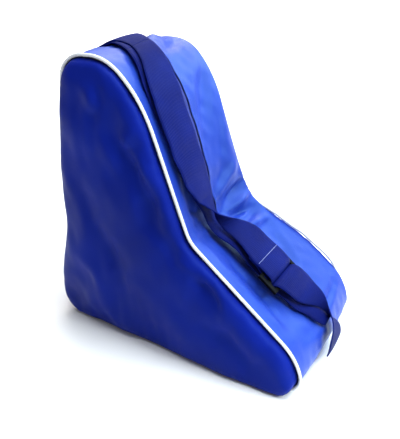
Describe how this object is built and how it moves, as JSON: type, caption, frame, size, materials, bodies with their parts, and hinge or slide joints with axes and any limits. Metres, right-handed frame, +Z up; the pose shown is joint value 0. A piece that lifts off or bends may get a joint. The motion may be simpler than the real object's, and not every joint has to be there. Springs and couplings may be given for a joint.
{
  "type": "ski boot bag",
  "caption": "Boot-shaped soft carrying bag with piped side panels, a zipped front mouth and an adjustable webbing strap.",
  "frame": {"origin": "on the underside of the base, on the bag's middle plane, half way between the heel and toe seams", "axes": "+X from heel to toe, +Y from the left side panel to the right one, +Z up"},
  "size_m": [0.3951, 0.217, 0.3918],
  "materials": {
    "shell_cloth": "coated nylon, satin",
    "piping": "white vinyl cord cover",
    "binding_tape": "woven tape",
    "board": "matt sheet",
    "zip_tape": "woven tape",
    "zip_coil": "nylon coil",
    "zip_metal": "black enamel",
    "webbing": "ribbed webbing",
    "glide_plastic": "moulded, satin"
  },
  "bodies": {
    "shell": {"left_side_panel": "shell_cloth", "right_side_panel": "shell_cloth", "back_gusset": "shell_cloth", "toe_gusset": "shell_cloth", "base_panel": "shell_cloth", "left_piping": "piping", "right_piping": "piping", "left_seam_binding": "binding_tape", "right_seam_binding": "binding_tape", "top_anchor_patch": "binding_tape", "heel_anchor_patch": "binding_tape", "base_board": "board", "zip_back_tape_left": "zip_tape", "zip_back_tape_right": "zip_tape", "zip_toe_tape_left": "zip_tape", "zip_toe_tape_right": "zip_tape", "zip_back_coil_left": "zip_coil", "zip_back_coil_right": "zip_coil", "zip_toe_coil_left": "zip_coil", "zip_toe_coil_right": "zip_coil", "zip_back_stop": "zip_metal", "zip_toe_stop": "zip_metal", "strap_heel_leg": "webbing", "strap_anchor_leg": "webbing"},
    "left_flap": {"left_front_flap": "shell_cloth", "zip_tape_left": "zip_tape", "zip_coil_left": "zip_coil"},
    "right_flap": {"right_front_flap": "shell_cloth", "zip_tape_right": "zip_tape", "zip_coil_right": "zip_coil"},
    "strap": {"strap_return_leg": "webbing", "strap_sewn_leg": "webbing", "strap_running_leg": "webbing", "strap_toe_turn": "webbing"},
    "adjuster": {"tri_glide": "glide_plastic", "strap_hem": "webbing"},
    "slider": {"zip_slider": "zip_metal"},
    "pull": {"zip_pull": "zip_metal"}
  },
  "joints": [
    {"name": "strap_swing", "type": "hinge", "parent": "shell", "child": "strap", "pos_m": [-0.19245, 0, 0.30726], "axis": [0, -1, 0], "range_deg": [0, 115]},
    {"name": "left_flap_open", "type": "hinge", "parent": "shell", "child": "left_flap", "pos_m": [-0.09701, -0.0925, 0.36185], "axis": [0.612, 0, -0.7909], "range_deg": [0, 72]},
    {"name": "right_flap_open", "type": "hinge", "parent": "shell", "child": "right_flap", "pos_m": [-0.09701, 0.0925, 0.36185], "axis": [-0.612, 0, 0.7909], "range_deg": [0, 72]},
    {"name": "adjuster_slide", "type": "slide", "parent": "strap", "child": "adjuster", "axis": [0.7826, 0, -0.6225], "range_m": [0, 0.03]},
    {"name": "slider_travel", "type": "slide", "parent": "shell", "child": "slider", "axis": [0.1219, 0, 0.9925], "range_m": [0, 0.03]},
    {"name": "pull_swing", "type": "hinge", "parent": "slider", "child": "pull", "pos_m": [-0.15878, 0, 0.30613], "axis": [0, 1, 0], "range_deg": [0, 90]}
  ],
  "couplings": [
    {"joint": "left_flap_open", "follows": "strap_swing", "ratio": 0.62},
    {"joint": "right_flap_open", "follows": "strap_swing", "ratio": 0.62}
  ]
}
